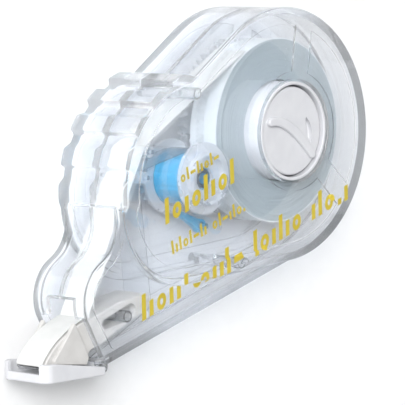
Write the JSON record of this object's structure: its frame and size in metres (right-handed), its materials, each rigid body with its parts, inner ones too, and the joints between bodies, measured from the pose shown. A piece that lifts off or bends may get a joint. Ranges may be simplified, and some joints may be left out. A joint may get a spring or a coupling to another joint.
{
  "type": "correction tape roller",
  "caption": "Teardrop correction tape roller: clear two-part case, geared supply and take-up reels, white applicator head and hinged tip cover.",
  "frame": {"origin": "on the face that the roller lies on, at the axis of the supply reel", "axes": "+X runs along the straight bottom rail from the nose to the round belly, +Y from the rail to the arched top, +Z across the tape width from the resting face to the printed face"},
  "size_m": [0.101, 0.0541, 0.0176],
  "materials": {
    "case_clear": "clear glossy moulded polystyrene",
    "gear_clear": "natural translucent plastic",
    "white_plastic": "white moulded plastic, satin",
    "blue_plastic": "cyan blue moulded plastic, satin",
    "wound_tape": "grey-green wound tape, matte edge",
    "tape_strip": "white correction layer on release film",
    "spent_film": "thin clear release film",
    "pin_steel": "bright drawn wire"
  },
  "bodies": {
    "case": {"far_case_half": "case_clear", "near_case_half": "case_clear", "applicator_head": "white_plastic", "fresh_tape_run": "tape_strip", "spent_film_run": "spent_film", "tip_cover_pin": "pin_steel"},
    "drive_gear": {"supply_gear": "gear_clear", "clutch_disc": "white_plastic"},
    "supply_reel": {"supply_core": "white_plastic", "tape_roll": "wound_tape"},
    "take_up_reel": {"take_up_gear": "gear_clear", "take_up_core": "blue_plastic", "take_up_flange": "gear_clear", "spent_film_wrap": "spent_film"},
    "pawl": {"anti_reverse_pawl": "blue_plastic"},
    "upper_guide": {"guide_roller_upper": "gear_clear"},
    "lower_guide": {"guide_roller_lower": "gear_clear"},
    "cap": {"tip_cover": "white_plastic"}
  },
  "joints": [
    {"name": "drive_spin", "type": "hinge", "parent": "case", "child": "drive_gear", "pos_m": [0, 0, 0], "axis": [0, 0, 1], "continuous": true},
    {"name": "clutch_slip", "type": "hinge", "parent": "drive_gear", "child": "supply_reel", "pos_m": [0, 0, 0], "axis": [0, 0, 1], "continuous": true},
    {"name": "take_up_spin", "type": "hinge", "parent": "case", "child": "take_up_reel", "pos_m": [-0.02506, -0.0014, 0], "axis": [0, 0, 1], "continuous": true},
    {"name": "pawl_click", "type": "hinge", "parent": "case", "child": "pawl", "pos_m": [-0.0184, -0.0146, 0], "axis": [0, 0, 1], "range_deg": [0, 12], "stiffness_Nm_per_rad": 0.002},
    {"name": "upper_guide_spin", "type": "hinge", "parent": "case", "child": "upper_guide", "pos_m": [-0.0374, 0.0085, 0], "axis": [0, 0, 1], "continuous": true},
    {"name": "lower_guide_spin", "type": "hinge", "parent": "case", "child": "lower_guide", "pos_m": [-0.04, 0.0041, 0], "axis": [0, 0, 1], "continuous": true},
    {"name": "cap_hinge", "type": "hinge", "parent": "case", "child": "cap", "pos_m": [-0.0614, -0.027, 0], "axis": [0, 0, 1], "range_deg": [0, 110]}
  ],
  "couplings": [
    {"joint": "take_up_spin", "follows": "drive_spin", "ratio": -2.8462}
  ]
}
